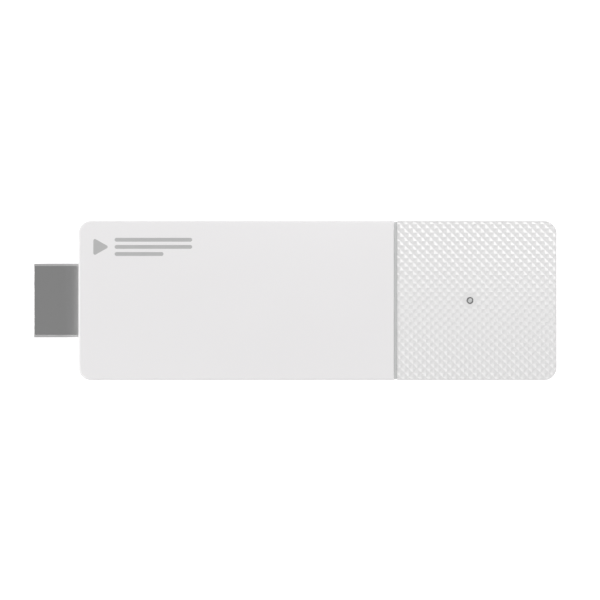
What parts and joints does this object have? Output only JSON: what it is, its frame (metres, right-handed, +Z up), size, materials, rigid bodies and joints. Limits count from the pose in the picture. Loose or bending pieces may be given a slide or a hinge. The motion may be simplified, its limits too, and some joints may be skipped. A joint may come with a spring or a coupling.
{
  "type": "streaming media player",
  "caption": "Flat white media stick with a male HDMI plug at one end, a diamond-textured cap with a status light and a USB-C power inlet at the other, and a small reset key.",
  "frame": {"origin": "centre of the whole object's footprint, plug included, on the plane it stands on", "axes": "+X from the HDMI plug to the textured end cap, +Z up out of the top face that holds the status light, +Y across the body, away from the reset key"},
  "size_m": [0.0984, 0.03, 0.014],
  "materials": {
    "white_plastic": "fine matt moulded ABS, off-white",
    "cap_plastic": "the same off-white ABS, moulded with a fine diamond relief",
    "grey_plastic": "satin light grey",
    "label_film": "blank printed film",
    "clear_resin": "frosted clear acrylic",
    "led_epoxy": "clear epoxy over a pale phosphor",
    "black_foam": "closed-cell foam",
    "plug_steel": "nickel-plated folded sheet, satin",
    "gold_contact": "gold flash over copper alloy",
    "black_resin": "glass-filled black resin",
    "circuit_board": "green solder mask on glass-epoxy laminate",
    "chip_resin": "moulded black epoxy, unmarked",
    "tin_sheet": "tinned sheet steel, satin",
    "ferrite": "dark grey ferrite",
    "heat_pad": "soft blue-grey silicone",
    "aluminium_sheet": "mill-finish sheet",
    "screw_steel": "dark zinc-plated steel"
  },
  "bodies": {
    "housing": {"upper_shell": "white_plastic", "lower_shell": "white_plastic", "textured_end_cap": "cap_plastic", "divider_ring": "grey_plastic", "rating_label": "label_film", "light_pipe": "clear_resin", "status_led": "led_epoxy", "led_foam_sleeve": "black_foam", "plug_shell": "plug_steel", "plug_insulator": "black_resin", "main_board": "circuit_board", "soc_chip": "chip_resin", "memory_chip_1": "chip_resin", "memory_chip_2": "chip_resin", "storage_chip": "chip_resin", "power_chip": "chip_resin", "clock_crystal": "tin_sheet", "power_inductor_1": "ferrite", "power_inductor_2": "ferrite", "wifi_module": "tin_sheet", "shield_frame": "tin_sheet", "shield_lid": "tin_sheet", "lower_shield_can": "tin_sheet", "processor_heat_pad": "heat_pad", "upper_heat_pad": "heat_pad", "lower_heat_pad": "heat_pad", "upper_heat_plate": "aluminium_sheet", "lower_heat_plate": "aluminium_sheet", "antenna_left": "tin_sheet", "antenna_right": "tin_sheet", "usb_shell": "tin_sheet", "usb_tongue": "black_resin", "switch_body": "black_resin", "switch_cover": "tin_sheet", "plug_contact_01": "gold_contact", "plug_contact_02": "gold_contact", "plug_contact_03": "gold_contact", "plug_contact_04": "gold_contact", "plug_contact_05": "gold_contact", "plug_contact_06": "gold_contact", "plug_contact_07": "gold_contact", "plug_contact_08": "gold_contact", "plug_contact_09": "gold_contact", "plug_contact_10": "gold_contact", "plug_contact_11": "gold_contact", "plug_contact_12": "gold_contact", "plug_contact_13": "gold_contact", "plug_contact_14": "gold_contact", "plug_contact_15": "gold_contact", "plug_contact_16": "gold_contact", "plug_contact_17": "gold_contact", "plug_contact_18": "gold_contact", "plug_contact_19": "gold_contact", "board_screw_1": "screw_steel", "board_screw_2": "screw_steel", "board_screw_3": "screw_steel", "board_screw_4": "screw_steel"},
    "reset_key": {"reset_key": "white_plastic", "switch_plunger": "black_resin"}
  },
  "joints": [
    {"name": "reset_key_press", "type": "slide", "parent": "housing", "child": "reset_key", "axis": [0, 1, 0], "range_m": [0, 0.0003], "stiffness_N_per_m": 5000}
  ]
}
